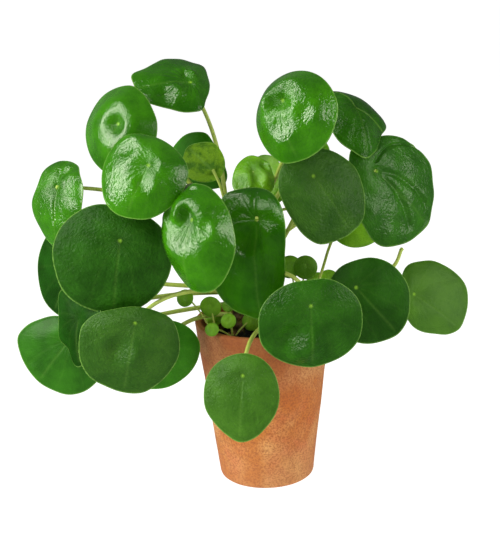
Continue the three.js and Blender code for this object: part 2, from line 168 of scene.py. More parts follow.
@dataclass
class Look:
    """A leaf's relief and colour. The main vein runs to the tip's heading, or to the farthest edge."""

    shade: str
    gloss: float = 1.0
    spot: float = 1.0
    funnel: float = 1.0
    crest: float = 0.42
    plateau: float = 0.42
    droop: float = 1.0
    roll: float = 2.0
    veins: float = 0.25
    pleats: float = 0.03
    waves: float = 0.5
    crinkle: float = 0.5
    curl: float = 0.7
    tip: float | None = None
    lobes: list[Lobe] = field(default_factory=list)
    facets: list[Facet] = field(default_factory=list)
    creases: list[Crease] = field(default_factory=list)


LOOKS = {
    "leaf_01": Look(
        "mid", gloss=0.9, pleats=0.12, crinkle=0.7,
        lobes=[
            Lobe(294, 6, 12), Lobe(33, 3.5, 14), Lobe(250, 2.5, 14), Lobe(338, 1.5, 10),
            Lobe(165, 1.5, 12),
        ],
        facets=[Facet(3, 9, 5, 32), Facet(240, 20, 9, 32)],
        creases=[
            Crease(225, -0.5, 0.7, 0.2, 0.8), Crease(250, -0.5, 0.7, 0.2, 0.8),
            Crease(270, -0.4, 0.7, 0.2, 0.8),
        ],
    ),
    "leaf_02": Look(
        "fresh", funnel=1.1, crest=0.38, plateau=0.46, roll=2.2, crinkle=0.4, veins=0, pleats=0,
    ),
    "leaf_03": Look(
        "fresh", waves=0.8, roll=2.6, crinkle=0.7, tip=205, pleats=0.06,
        facets=[
            Facet(318, 24, 10, 24), Facet(262, 25, 5, 18), Facet(178, 13, 8, 16), Facet(85, 7, 4, 22),
        ],
    ),
    "leaf_04": Look(
        "fresh", waves=0.8, crinkle=0.8, lobes=[Lobe(241, 3, 12)],
        facets=[Facet(76, 14, 9, 22), Facet(120, 20, 8, 16), Facet(10, 14, 6, 24)],
        creases=[Crease(350, -1.5, 2.5, 0.1, 0.9), Crease(176, -1.5, 2.5, 0.1, 0.5)],
    ),
    "leaf_05": Look("deep", gloss=0.2, tip=189, crinkle=1.2),
    "leaf_06": Look("dark", gloss=MATTE),
    "leaf_07": Look("grass", gloss=SATIN, veins=0.1, crinkle=0.2, facets=[Facet(236, 42, 5, 10)]),
    "leaf_08": Look(
        "dark", gloss=MATTE, spot=0, lobes=[Lobe(300, 5, 16), Lobe(227, 5, 14), Lobe(194, 10, 14)],
    ),
    "leaf_09": Look("soft", gloss=0.42, crinkle=1.3, facets=[Facet(200, 26, 12, 8)]),
    "leaf_10": Look("plain", gloss=MATTE),
    "leaf_11": Look(
        "fresh", funnel=1.1, crest=0.36, plateau=0.5, roll=3.2, crinkle=0.7, veins=0, pleats=0.07,
        lobes=[Lobe(160, 3, 14), Lobe(285, -2, 30)],
        facets=[
            Facet(215, 17, 16, 20), Facet(271, 22, 6, 22), Facet(110, 17, 7, 20),
            Facet(295, 8, 6, 20, azimuth=25), Facet(348, 24, 5, 30), Facet(173, 42, 9, -12, azimuth=-20),
        ],
        creases=[
            Crease(120, -0.6, 1.2, 0.3, 0.8), Crease(200, -0.3, 0.6, 0.1, 0.4),
            Crease(215, -0.3, 0.6, 0.1, 0.4),
        ],
    ),
    "leaf_12": Look(
        "mid", funnel=0.6, crest=0.3, plateau=0.4, roll=3, crinkle=0.7, pleats=0.06,
        lobes=[Lobe(159, 7, 12), Lobe(202, 4.5, 12), Lobe(300, 4, 14)],
        facets=[
            Facet(303, 19, 8, 28), Facet(268, 13, 7, 27), Facet(196, 21, 12, 26), Facet(112, 12, 9, 27),
        ],
        creases=[
            Crease(345, -1.2, 2, 0.1, 0.9), Crease(168, -1.2, 2, 0.1, 0.5),
            Crease(288, -0.5, 0.9, 0.2, 0.9), Crease(262, -0.5, 0.9, 0.2, 0.9),
            Crease(318, -0.4, 0.8, 0.2, 0.9),
        ],
    ),
    "leaf_13": Look(
        "fresh", funnel=1.2, crest=0.34, plateau=0.5, roll=3, crinkle=0.9, veins=0, pleats=0.08,
        facets=[
            Facet(29, 12, 7, 28), Facet(201, 13, 6, 22), Facet(168, 23, 12, 18), Facet(112, 25, 9, 20),
            Facet(255, 9, 7, 25, azimuth=10),
        ],
        creases=[
            Crease(12, -0.4, 0.6, 0.1, 0.7), Crease(30, -0.4, 0.6, 0.1, 0.7),
            Crease(48, -0.3, 0.6, 0.1, 0.7),
        ],
    ),
    "leaf_14": Look(
        "satin", gloss=0.9, spot=0, crinkle=1, lobes=[Lobe(112, 6, 16), Lobe(192, 4, 12)],
        creases=[
            Crease(0, 0.8, 1.0, 0, 0.9), Crease(142, 0.8, 1.0, 0, 0.9, bend=-14),
            Crease(182, -0.8, 1.2, 0.4, 0.95),
        ],
    ),
    "leaf_15": Look(
        "mid", gloss=0.6, pleats=0.06, waves=2, crinkle=0.9,
        creases=[
            Crease(-25, -2, 2.6, 0.35, 0.95, bend=100), Crease(98, -2, 2.6, 0.12, 0.8, bend=32),
            Crease(130, -1.8, 2.6, 0.15, 0.8, bend=24),
        ],
    ),
    "leaf_16": Look("soft", gloss=0.45, crinkle=1.3),
    "leaf_17": Look(
        "sprout", funnel=0.8, droop=0.7, crinkle=1,
        facets=[Facet(228, 10, 7, 20), Facet(140, 9, 6, 20), Facet(62, 13, 4, 20)],
    ),
    "leaf_18": Look("young", gloss=0.4, crinkle=1),
    "leaf_19": Look("plain", gloss=MATTE),
    "leaf_20": Look("meadow", gloss=SATIN, crinkle=1),
    "leaf_21": Look("satin", gloss=0.55, crinkle=1.1, facets=[Facet(197, 31, 14, 12)]),
    "leaf_22": Look("deep", gloss=MATTE, crinkle=0.8),
    "leaf_23": Look("pale", gloss=MATTE, lobes=[Lobe(0, 3.5, 28), Lobe(95, 4, 30), Lobe(183, 2, 20)]),
}
SMALL_LOOK = Look("young", gloss=0.6, spot=0.4, droop=0.5, veins=0.1, waves=0.3, curl=0.3)

# ---- small tools ----


def unit(vector):
    return vector / np.linalg.norm(vector)


def eased(value):
    """0 below 0, 1 above 1, and a smooth step between them."""
    value = np.clip(value, 0, 1)
    return value * value * (3 - 2 * value)


def bell(distance, width):
    """1 at no distance, about a third at the width and almost 0 at twice the width."""
    return np.exp(-((distance / width) ** 2))


def ripple(across, along, seed):
    """Smooth noise over a plane, from about -1 to 1, with features about one unit wide."""
    period = 64
    gain = 1.5
    slopes = np.random.default_rng(seed).uniform(0, 2 * math.pi, (period, period))
    column = np.floor(across)
    row = np.floor(along)
    right = across - column
    up = along - row

    def corner(right_step, up_step):
        slope = slopes[(column + right_step).astype(int) % period, (row + up_step).astype(int) % period]
        return np.cos(slope) * (right - right_step) + np.sin(slope) * (up - up_step)

    share = eased(right)
    low = corner(0, 0) * (1 - share) + corner(1, 0) * share
    high = corner(0, 1) * (1 - share) + corner(1, 1) * share
    return gain * (low + (high - low) * eased(up))


def lumps(point, waves):
    """Noise of several sizes at a point. Each wave is how many go in a metre, and its height in mm."""
    return sum(noise.noise(Vector(point) * fineness) * height for fineness, height in waves) * MM


def catmull_rom(before, start, end, after, share):
    """A point on the smooth curve from start to end."""
    return 0.5 * (
        2 * start
        + (end - before) * share
        + (2 * before - 5 * start + 4 * end - after) * share**2
        + (3 * start - before - 3 * end + after) * share**3
    )


def closed_curve(values, count):
    """Values spread evenly over a smooth closed curve through the given ones."""
    places = np.arange(count) * len(values) / count
    start = places.astype(int)
    share = (places - start).reshape([-1] + [1] * (values.ndim - 1))
    picked = [values[(start + step) % len(values)] for step in (-1, 0, 1, 2)]
    return catmull_rom(*picked, share)


def open_curve(values, count):
    """Values spread evenly over a smooth curve through the given ones, from the first to the last."""
    padded = np.vstack([2 * values[0] - values[1], values, 2 * values[-1] - values[-2]])
    places = np.linspace(0, len(values) - 1, count)
    start = np.minimum(places.astype(int), len(values) - 2)
    share = (places - start)[:, None]
    picked = [padded[start + step] for step in (0, 1, 2, 3)]
    return catmull_rom(*picked, share)


# ---- meshes ----


def in_scene(name, data):
    """A new object that is in the scene."""
    made = bpy.data.objects.new(name, data)
    scene.collection.objects.link(made)
    return made


class Skin:
    """A mesh under construction, with its faces' finishes and its vertices' values.

    Each value is one number, apart from polar, which is the sine and cosine of a vertex's heading and
    its share of the way to the edge.
    """

    VALUES = ("share", "vein", "spot", "under", "gloss", "crinkle", "polar")

    def __init__(self):
        self.points = []
        self.faces = []
        self.finishes = []
        self.values = {name: [] for name in self.VALUES}

    def add(self, points, faces, finish=0, **values):
        """Adds points, their values and faces that count from the first of these points."""
        first = len(self.points)
        self.points.extend(points)
        self.faces.extend(tuple(first + corner for corner in face) for face in faces)
        self.finishes.extend([finish] * len(faces))
        for name, kept in self.values.items():
            missing = np.zeros((len(points), 3)) if name == "polar" else np.zeros(len(points))
            kept.extend(values.get(name, missing))

    def build(self, name, *materials):
        """The finished object, smoothly shaded."""
        mesh = bpy.data.meshes.new(name)
        mesh.from_pydata([tuple(point) for point in self.points], [], self.faces)
        for value_name, kept in self.values.items():
            kind, key = ("FLOAT_VECTOR", "vector") if value_name == "polar" else ("FLOAT", "value")
            attribute = mesh.attributes.new(value_name, kind, "POINT")
            attribute.data.foreach_set(key, np.asarray(kept, np.float32).ravel())
        for material in materials:
            mesh.materials.append(material)
        mesh.polygons.foreach_set("material_index", self.finishes)
        mesh.shade_smooth()
        return in_scene(name, mesh)


def ring_faces(rings, sides):
    """Faces over rings of points, with a single point before the first ring and one after the last."""
    faces = []
    for ring in range(rings - 1):
        for side in range(sides):
            here = 1 + ring * sides
            after = (side + 1) % sides
            faces.append((here + side, here + after, here + sides + after, here + sides + side))
    last = 1 + rings * sides
    here = last - sides
    faces.extend((0, 1 + (side + 1) % sides, 1 + side) for side in range(sides))
    faces.extend((last, here + side, here + (side + 1) % sides) for side in range(sides))
    return faces


def show(piece, slot, *nodes):
    """The piece stands for these CAD nodes and rides on the body. The slot is not used."""
    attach(piece, BODY)
    if nodes:
        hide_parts(*nodes)


# ---- reading the CAD nodes back ----


def nodes_named(start):
    """The names of the CAD nodes that start so, in order."""
    return sorted(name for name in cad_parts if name.startswith(start))


def welded(node):
    """The node's points and each point's neighbours, with the doubled points merged."""
    mesh = bmesh.new()
    mesh.from_mesh(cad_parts[node].data)
    bmesh.ops.remove_doubles(mesh, verts=mesh.verts, dist=WELD_DISTANCE)
    mesh.verts.index_update()
    mesh.verts.ensure_lookup_table()
    points = np.array([vertex.co for vertex in mesh.verts])
    neighbours = [[edge.other_vert(vertex).index for edge in vertex.link_edges] for vertex in mesh.verts]
    mesh.free()
    return points, neighbours


def levels_from(start, neighbours):
    """The points that lie each number of edges away from a starting point."""
    seen = {start}
    levels = [[start]]
    while levels[-1]:
        found = {other for point in levels[-1] for other in neighbours[point]} - seen
        seen |= found
        levels.append(sorted(found))
    return levels[:-1]


def poles(neighbours, count):
    """The points with exactly that many neighbours."""
    return [point for point, others in enumerate(neighbours) if len(others) == count]


def first_radius(points, levels):
    """The mean distance of the first ring's points from the point that the levels start at."""
    return np.linalg.norm(points[levels[1]] - points[levels[0][0]], axis=1).mean()


def middles_and_radii(rings):
    """The middle and the mean radius of each ring of points."""
    middles = np.array([ring.mean(axis=0) for ring in rings])
    radii = [np.linalg.norm(ring - middle, axis=1).mean() for ring, middle in zip(rings, middles)]
    return middles, np.array(radii)


@dataclass
class Blade:
    """A blade's joint, its axes, its edge and how deep its dimple is.

    The edge is offsets along right and top, and the rise is how far each stands out.
    """

    joint: np.ndarray
    out: np.ndarray
    right: np.ndarray
    top: np.ndarray
    edge: np.ndarray
    rise: np.ndarray
    dimple: float


def cad_shoulder(share):
    """How far a CAD blade stands out at a share of the way to its edge, in depths of its dimple."""
    return math.sin(math.pi * min(1, share / DIMPLE_END))


def shoulder(share, crest, plateau):
    """The same for a fine blade: a steep funnel up to a crest, and a gentle fall from a plateau on."""
    funnel = np.sin(math.pi / 2 * np.minimum(1, share / crest)) ** FUNNEL_STEEPNESS
    fall = 0.5 + 0.5 * np.cos(math.pi * np.clip((share - plateau) / (1 - plateau), 0, 1))
    return np.where(share < crest, funnel, fall)


def read_blade(points, levels, out, first_ring, rim_level):
    """A blade from its levels of points, and from the direction that its upper face faces."""
    joint = points[levels[0][0]]
    right = unit(np.cross(UP, out))
    top = np.cross(out, right)
    rim = points[levels[rim_level]] - joint
    rise = rim @ out
    inner = ((points[levels[1]] - joint) @ out).mean()
    dimple = (inner - first_ring**2 * rise.mean()) / cad_shoulder(first_ring)
    edge = np.stack([rim @ right, rim @ top], axis=1)
    order = np.argsort(np.arctan2(*edge.T))
    return Blade(joint, out, right, top, edge[order], rise[order], dimple)


def read_big_blade(node):
    """The blade of a node that is a blade and nothing else."""
    points, neighbours = welded(node)
    rows = [levels_from(end, neighbours) for end in poles(neighbours, BLADE_SEGMENTS)]
    levels = min(rows, key=lambda row: first_radius(points, row))
    out = unit(points[levels[0][0]] - points[levels[-1][0]])
    return read_blade(points, levels, out, BLADE_FIRST_RING, BLADE_RIM_LEVEL)


def read_small_leaves(node):
    """Each blade of a node whose blades and stalks are one solid, with its stalk's rings of points."""
    points, neighbours = welded(node)
    leaves = []
    for pole in poles(neighbours, SMALL_SEGMENTS):
        levels = levels_from(pole, neighbours)
        if any(len(level) != SMALL_SEGMENTS for level in levels[1 : SMALL_UNDERSIDE_LEVEL + 1]):
            continue
        if first_radius(points, levels) < SMALL_LEAST_RADIUS:
            continue
        upper = points[levels[1]].mean(axis=0)
        lower = points[levels[SMALL_UNDERSIDE_LEVEL]].mean(axis=0)
        blade = read_blade(points, levels, unit(upper - lower), SMALL_FIRST_RING, SMALL_RIM_LEVEL)
        rings = []
        for level in levels[SMALL_UNDERSIDE_LEVEL + 1 :]:
            if len(level) != SMALL_SEGMENTS:
                break
            rings.append(points[level])
        leaves.append((blade, rings))
    return leaves


def read_tube(node, sides):
    """The middle line and the radii of a node that is one tube."""
    points, neighbours = welded(node)
    found = [levels_from(pole, neighbours) for pole in poles(neighbours, sides)]
    from_ends = [levels for levels in found if all(len(level) == sides for level in levels[1:-1])]
    lowest = min(from_ends, key=lambda levels: points[levels[0][0]][2])
    centres, radii = middles_and_radii([points[level] for level in lowest])
    radii[0] = radii[1]
    radii[-1] = radii[-2]
    return centres, radii


# ---- leaves ----


def window(share, start, end, soft=0.12):
    """1 between two shares of the way to the edge, and 0 outside them, with soft ends."""
    return eased((share - start) / soft + 1) * eased((end - share) / soft + 1)


def off_heading(angle, heading):
    """How far each angle is from a heading in degrees, from -pi to pi."""
    return (angle - np.radians(heading) + math.pi) % (2 * math.pi) - math.pi


def line_distance(angle, reach, heading):
    """Each point's distance from a line that leaves the joint at a heading in degrees."""
    off = off_heading(angle, heading)
    return np.where(np.abs(off) < math.pi / 2, reach * np.abs(np.sin(off)), reach)


def on_crease(crease, angle, reach, share, widening=1.0):
    """How much each point lies on a crease, from 0 to 1."""
    distance = line_distance(angle, reach, crease.heading + crease.bend * share)
    return bell(distance, widening * crease.width * MM) * window(share, crease.start, crease.end)


def vein_pattern(blade, look, angle, reach, share):
    """How much each point lies on a vein, from 0 to 1, or more on a pale ridge."""
    main = look.tip
    if main is None:
        farthest = blade.edge[np.argmax(np.hypot(*blade.edge.T))]
        main = math.degrees(math.atan2(*farthest))
    strength = bell(line_distance(angle, reach, main), VEIN_WIDTH)
    for side in SIDE_VEINS:
        for turned in (side, -side):
            heading = main + turned - math.copysign(VEIN_BEND, turned) * share
            distance = line_distance(angle, reach, heading)
            strength = np.maximum(strength, SIDE_VEIN_STRENGTH * bell(distance, VEIN_WIDTH))
    strength = strength * window(share, *VEIN_SPAN)
    for crease in look.creases:
        if crease.height > 0:
            pale = RIDGE_PALENESS * on_crease(crease, angle, reach, share, RIDGE_LINE_WIDTH)
            strength = np.maximum(strength, pale)
    return strength


def facing(azimuth, elevation):
    """The direction with an azimuth, 0 at the camera's side and 90 at its right, and an elevation."""
    turned = math.radians(azimuth)
    raised = math.radians(elevation)
    level = math.cos(raised)
    return np.array([math.sin(turned) * level, -math.cos(turned) * level, math.sin(raised)])


def flattened(blade, height, across, along, facet):
    """The heights with one patch eased onto a plane that faces the facet's direction."""
    turned = math.radians(facet.heading)
    right = across - facet.distance * MM * math.sin(turned)
    up = along - facet.distance * MM * math.cos(turned)
    towards = facing(facet.azimuth, facet.elevation)
    slopes = -np.array([towards @ blade.right, towards @ blade.top]) / (towards @ blade.out)
    pull = np.exp(-((np.hypot(right, up) / (facet.size * MM)) ** 3))
    level = (height * pull).sum() / pull.sum()
    return height + (level + right * slopes[0] + up * slopes[1] - height) * pull


def relief(blade, look, across, along, share, rise, seed):
    """How far each point of a blade stands out of the plane through its joint, and its vein pattern."""
    angle = np.arctan2(across, along)
    reach = np.hypot(across, along)
    veins = vein_pattern(blade, look, angle, reach, share)
    height = look.funnel * blade.dimple * shoulder(share, look.crest, look.plateau)
    height += look.droop * rise * share**look.roll
    waves = ripple(across / WAVE_LENGTH, along / WAVE_LENGTH, seed)
    height += look.waves * MM * waves * eased(share / WAVES_FULL_AT)
    for facet in look.facets:
        height = flattened(blade, height, across, along, facet)
    height -= look.veins * MM * veins
    pleats = np.cos(PLEAT_COUNT * angle + PLEAT_TWIST * share)
    height += look.pleats * MM * pleats * window(share, *PLEAT_SPAN, PLEAT_FADE)
    for crease in look.creases:
        height += crease.height * MM * on_crease(crease, angle, reach, share)
    height -= look.curl * MM * eased((share - RIM_CURL_START) / (1 - RIM_CURL_START)) ** 2
    return height, veins


def shaped_edge(edge, lobes):
    """The edge, a little longer all round, with its extra reach at each lobe's heading."""
    angle = np.arctan2(*edge.T)
    reach = np.hypot(*edge.T)
    longer = reach + EDGE_GROWTH
    for lobe in lobes:
        longer += lobe.reach * MM * bell(off_heading(angle, lobe.heading), math.radians(lobe.spread))
    return edge * (longer / reach)[:, None]


def blade_rings(blade, across, along, height, thickness):
    """A blade's rings of points: out over its upper face, round its rim and back over its underside."""
    upper = (
        blade.joint
        + across[..., None] * blade.right
        + along[..., None] * blade.top
        + height[..., None] * blade.out
    )
    round_it = np.roll(upper, -1, axis=1) - np.roll(upper, 1, axis=1)
    outward = np.gradient(upper, axis=0)
    normal = np.cross(outward, round_it)
    normal /= np.linalg.norm(normal, axis=2, keepdims=True)
    if (normal @ blade.out).mean() < 0:
        normal = -normal
    lower = upper - normal * thickness[..., None]
    away = outward[-1] / np.linalg.norm(outward[-1], axis=1, keepdims=True)
    middle = (upper[-1] + lower[-1]) / 2
    rim_radius = thickness[-1, 0] / 2
    rim = []
    for turn in np.radians(RIM_TURNS):
        rim.append(middle + (normal[-1] * math.cos(turn) + away * math.sin(turn)) * rim_radius)
    return [*upper, *rim, *lower[::-1]]


def add_blade(skin, blade, look, rings, spokes, thicknesses, spot_radius, seed):
    """Adds a blade with its values for the finish."""
    thickness, rim_thickness = thicknesses
    edge = shaped_edge(closed_curve(blade.edge, spokes), look.lobes)
    rise = closed_curve(blade.rise, spokes)
    share = np.linspace(0, 1, rings + 1)[1:, None] * np.ones(spokes)
    across = share * edge[:, 0]
    along = share * edge[:, 1]
    height, veins = relief(blade, look, across, along, share, rise, seed)
    deep = thickness + (rim_thickness - thickness) * share**3
    all_rings = blade_rings(blade, across, along, height, deep)
    joint_below = blade.joint - blade.out * thickness
    points = np.vstack([blade.joint[None], *all_rings, joint_below[None]])

    def on_points(joint, upper, rim, lower, below):
        """A value for each point, from those at the joint, on the upper face and so on."""
        on_rim = np.full(len(RIM_TURNS) * spokes, rim)
        return np.concatenate([[joint], np.ravel(upper), on_rim, np.ravel(lower), [below]])

    shares = on_points(0, share, 1, share[::-1], 0)
    angle = np.concatenate([[0], np.tile(np.arctan2(*edge.T), len(all_rings)), [0]])
    reach = shares * np.concatenate([[1], np.tile(np.hypot(*edge.T), len(all_rings)), [1]])
    skin.add(
        points,
        ring_faces(len(all_rings), spokes),
        share=shares,
        under=on_points(0, np.zeros_like(share), 0.5, np.ones_like(share), 1),
        vein=on_points(0, veins, 0, veins[::-1], 0),
        spot=look.spot * bell(reach, spot_radius),
        gloss=np.full(len(points), look.gloss),
        crinkle=np.full(len(points), look.crinkle),
        polar=np.stack([np.sin(angle), np.cos(angle), shares], axis=1),
    )


def add_tube(skin, centres, radii, rings, sides, finish=0, roughen=None):
    """Adds a smooth tube along a middle line, with rounded ends."""
    line = open_curve(centres, rings)
    size = open_curve(radii[:, None], rings)[:, 0]
    direction = np.gradient(line, axis=0)
    direction /= np.linalg.norm(direction, axis=1, keepdims=True)
    not_along_any_tube = [0.3, 0.9, 0.2]
    side = unit(np.cross(direction[0], not_along_any_tube))
    points = [line[0] - direction[0] * size[0] * TUBE_END]
    shares = [0.0]
    turns = np.linspace(0, 2 * math.pi, sides, endpoint=False)
    for place in range(rings):
        side = unit(side - direction[place] * (side @ direction[place]))
        other = np.cross(direction[place], side)
        spread = size[place] * (np.cos(turns)[:, None] * side + np.sin(turns)[:, None] * other)
        ring = line[place] + spread
        if roughen:
            ring = roughen(ring, line[place])
        points.extend(ring)
        shares.extend([place / (rings - 1)] * sides)
    points.append(line[-1] + direction[-1] * size[-1] * TUBE_END)
    shares.append(1.0)
    skin.add(points, ring_faces(rings, sides), finish, share=shares)


def stalk_line(centres, radii):
    """A stalk's middle line and radii, carried on into the stem at its foot and the blade at its tip."""
    foot = centres[0] - unit(centres[1] - centres[0]) * STALK_FOOT_REACH
    tip = centres[-1] + unit(centres[-1] - centres[-2]) * STALK_TOP_REACH
    line = np.vstack([foot, centres, tip])
    size = np.concatenate([[radii[0] * STALK_FOOT_FLARE], radii, [radii[-1] * STALK_TOP_FLARE]])
    return line, size


def make_big_leaf(number):
    """The blade of a leaf whose stalk is a node of its own."""
    node = f"leaf_{number:02d}"
    look = LOOKS[node]
    blade = read_big_blade(node)
    skin = Skin()
    add_blade(skin, blade, look, BLADE_RINGS, BLADE_SPOKES, LEAF_THICKNESSES, SPOT_RADIUS, number)
    show(skin.build(f"{node}_blade", leaf_finish(look.shade)), "leaf", node)


def make_stalk(node):
    skin = Skin()
    line, size = stalk_line(*read_tube(node, CAD_STALK_SIDES))
    add_tube(skin, line, size, STALK_RINGS, STALK_SIDES)
    show(skin.build(f"{node}_skin", stalk_finish()), "stalk", node)


def make_small_leaf(node, seed):
    """A node whose blades and stalks are one solid."""
    look = LOOKS.get(node, SMALL_LOOK)
    skin = Skin()
    for blade, rings in read_small_leaves(node):
        coarse = 1 if np.hypot(*blade.edge.T).mean() > FINE_LEAF_RADIUS else 2
        counts = (SMALL_RINGS // coarse, SMALL_SPOKES // coarse)
        add_blade(skin, blade, look, *counts, SMALL_THICKNESSES, SMALL_SPOT_RADIUS, seed)
        centres, radii = middles_and_radii(rings)
        line, sizes = stalk_line(centres[::-1], radii[::-1])
        add_tube(skin, line, sizes, STALK_RINGS // 2, STALK_SIDES // 2, finish=1)
    show(skin.build(f"{node}_skin", leaf_finish(look.shade), stalk_finish()), "young_leaf", node)


# ---- finishes ----


def colour(code):
    """A colour from its usual six hexadecimal digits, in the renderer's linear values."""
    values = [int(code[place : place + 2], 16) / 255 for place in (0, 2, 4)]
    return [*Color(values).from_srgb_to_scene_linear(), 1]


class Nodes:
    """A node tree under construction."""

    def __init__(self, tree):
        self.tree = tree

    def put(self, socket, value):
        """Gives a socket another one's output, a number, a vector or the colour of a code."""
        if isinstance(value, bpy.types.NodeSocket):
            self.tree.links.new(value, socket)
        else:
            socket.default_value = colour(value) if isinstance(value, str) else value

    def node(self, kind, inputs, **settings):
        made = self.tree.nodes.new(f"ShaderNode{kind}")
        for name, value in settings.items():
            setattr(made, name, value)
        for name, value in inputs.items():
            self.put(made.inputs[name], value)
        return made

    def fit(self, value, low, high, start=0.0, end=1.0):
        """A value from between low and high, moved to between start and end."""
        inputs = {"Value": value, "From Min": low, "From Max": high, "To Min": start, "To Max": end}
        return self.node("MapRange", inputs).outputs["Result"]


class Finish(Nodes):
    """A material under construction."""

    def __init__(self, name):
        self.material = bpy.data.materials.new(name)
        self.material.use_nodes = True
        super().__init__(self.material.node_tree)
        self.shader = self.tree.nodes["Principled BSDF"]

    def attribute(self, name, output="Fac"):
        return self.node("Attribute", {}, attribute_name=name).outputs[output]

    def place(self):
        return self.node("TexCoord", {}).outputs["Object"]

    def stretched(self, place, scale):
        return self.node("Mapping", {"Vector": place, "Scale": scale}).outputs["Vector"]

    def noise(self, scale, detail=4, place=None, roughness=0.5):
        """Noise with about this many features in a metre, unless another place is given."""
        inputs = {"Vector": place or self.place(), "Scale": scale, "Detail": detail, "Roughness": roughness}
        return self.node("TexNoise", inputs).outputs["Fac"]

    def math(self, operation, first, second):
        return self.node("Math", {0: first, 1: second}, operation=operation).outputs[0]

    def ridges(self, value):
        """Sharp valleys where a noise value crosses its middle, and rounded ground between them."""
        return self.math("ABSOLUTE", self.math("SUBTRACT", value, 0.5), 0)

    def mix(self, share, first, second):
        """The first colour at share 0, and the second at share 1."""
        return self.node("Mix", {0: share, 6: first, 7: second}, data_type="RGBA").outputs[2]

    def tinted(self, base, tint, value, low, high, most=1.0):
        """The base colour, with up to the most of the tint as a value goes from low to high."""
        return self.mix(self.fit(value, low, high, 0, most), base, tint)

    def bump(self, height, distance, strength=1.0, normal=None):
        """Shading for a relief that is as high as the distance, on top of another one's normal."""
        inputs = {"Height": height, "Distance": distance, "Strength": strength}
        if normal:
            inputs["Normal"] = normal
        return self.node("Bump", inputs).outputs["Normal"]

    def done(self, **inputs):
        for name, value in inputs.items():
            self.put(self.shader.inputs[name.replace("_", " ")], value)
        return self.material


# Each shade's dark and light, its underside, how strongly it mirrors, and how blotched its underside is.
SHADES = {
    # Painted shade: darker than the leaf's own green, so that a strongly lit leaf looks shaded.
    "dark": ("123c02", "1c5208", "44701a", 0.1, 0.2),
    "deep": ("1a4804", "285e0c", "4c761a", 0.15, 0.2),
    "satin": ("1c4e04", "2c660a", "4c761a", 0.3, 0.2),
    # Painted light: lighter than the leaf's own green, for leaves that lie in shade.
    "plain": ("2a6c04", "3a860c", "5c881e", 0.15, 0.2),
    "grass": ("22580a", "30700e", "54801c", 0.2, 0.2),
    # Greyer green: partly the leaf's own duller tone and partly a painted sheen of reflected light.
    "soft": ("285412", "3a6818", "5e7e2c", 0.22, 0.2),
    "mid": ("205a02", "327404", "568a1a", 0.55, 0.2),
    "meadow": ("326010", "447619", "5e8a26", 0.25, 0.2),
    "pale": ("3e6e16", "50821e", "6f983a", 0.25, 0.2),
    "fresh": ("286602", "3c8404", "669416", 0.8, 0.2),
    "sprout": ("5a9e08", "86cc1c", "7a9e14", 0.8, 0.2),
    # Lighter green: partly the young leaves' own paler tone and partly painted light, as they lie in shade.
    "young": ("4a860a", "8ccc26", "8cc01c", 0.5, 0.95),
}
WAX_TINT = "f6fbe4"
EDGE_GREEN = "86b64e"
VEIN_GREEN = "86b84a"
SPOT_GREEN = "9ad238"


@cache
def leaf_finish(shade):
    """Waxy leaf: mottled green with pale veins, a bright spot at the joint, a duller underside and painted
    shade in its wrinkles.
    """
    dark, light, below, mirror, mottle = SHADES[shade]
    finish = Finish(f"leaf_{shade}")
    under = finish.attribute("under")
    crinkle = finish.attribute("crinkle")
    polar = finish.attribute("polar", "Vector")
    streaks = finish.noise(9, place=finish.stretched(polar, (3, 3, 0.7)))
    green = finish.tinted(dark, light, finish.noise(50), 0.36, 0.64)
    green = finish.tinted(green, light, streaks, 0.4, 0.7, 0.3)
    green = finish.tinted(green, EDGE_GREEN, finish.attribute("share"), 0.98, 0.998, 0.6)
    pale_below = finish.tinted(below, dark, finish.noise(110, roughness=0.62), 0.44, 0.58, mottle)
    green = finish.tinted(green, pale_below, under, 0.6, 1.0)
    paleness = finish.math("MULTIPLY", finish.attribute("vein"), finish.fit(under, 0, 1, 0.1, 0.45))
    green = finish.mix(paleness, green, VEIN_GREEN)
    green = finish.tinted(green, SPOT_GREEN, finish.attribute("spot"), 0.1, 1.0)
    cells = finish.ridges(finish.noise(250, 1.3))
    wrinkles = finish.ridges(finish.noise(1, 2, place=finish.stretched(polar, (6, 6, 18))))
    creases = finish.math("MULTIPLY", finish.math("ADD", cells, wrinkles), crinkle)
    # Painted shade: the green darkens along the wrinkles' valleys, where their bumps would be shaded.
    painted_wrinkle_shade = finish.math("MULTIPLY", finish.fit(wrinkles, 0, 0.05, 0.5, 0), crinkle)
    green = finish.mix(painted_wrinkle_shade, green, dark)
    crinkled = finish.bump(creases, 0.0009)
    fibres = finish.bump(streaks, 0.0003, 0.5, crinkled)
    waxy = finish.fit(finish.attribute("gloss"), 0, 1, 0.5, 0.17)
    roughness = finish.math("ADD", waxy, finish.math("MULTIPLY", under, 0.25))
    constants = {"Specular_IOR_Level": mirror, "Specular_Tint": WAX_TINT}
    return finish.done(Base_Color=green, Roughness=roughness, Normal=fibres, **constants)


@cache
def stalk_finish():
    """Stalk: pale yellow-green, brighter towards the leaf, with olive mottle and dark specks."""
    finish = Finish("stalk_green")
    green = finish.mix(finish.attribute("share"), "bccc54", "cce26c")
    green = finish.tinted(green, "8ea838", finish.noise(260, 3), 0.35, 0.7, 0.35)
    green = finish.tinted(green, "6a5a28", finish.noise(1500, 2), 0.62, 0.72, 0.2)
    normal = finish.bump(finish.noise(900, 3), 0.00012)
    return finish.done(Base_Color=green, Roughness=0.42, Normal=normal)


def bark_finish():
    """Stem: brown, dry and scarred, greener towards the top."""
    finish = Finish("bark")
    brown = finish.tinted("3d2a17", "7a6338", finish.noise(160), 0.35, 0.65)
    brown = finish.tinted(brown, "6d8a30", finish.attribute("share"), 0.7, 1.0)
    normal = finish.bump(finish.noise(500, 5, roughness=0.7), 0.0006)
    return finish.done(Base_Color=brown, Roughness=0.75, Normal=normal)


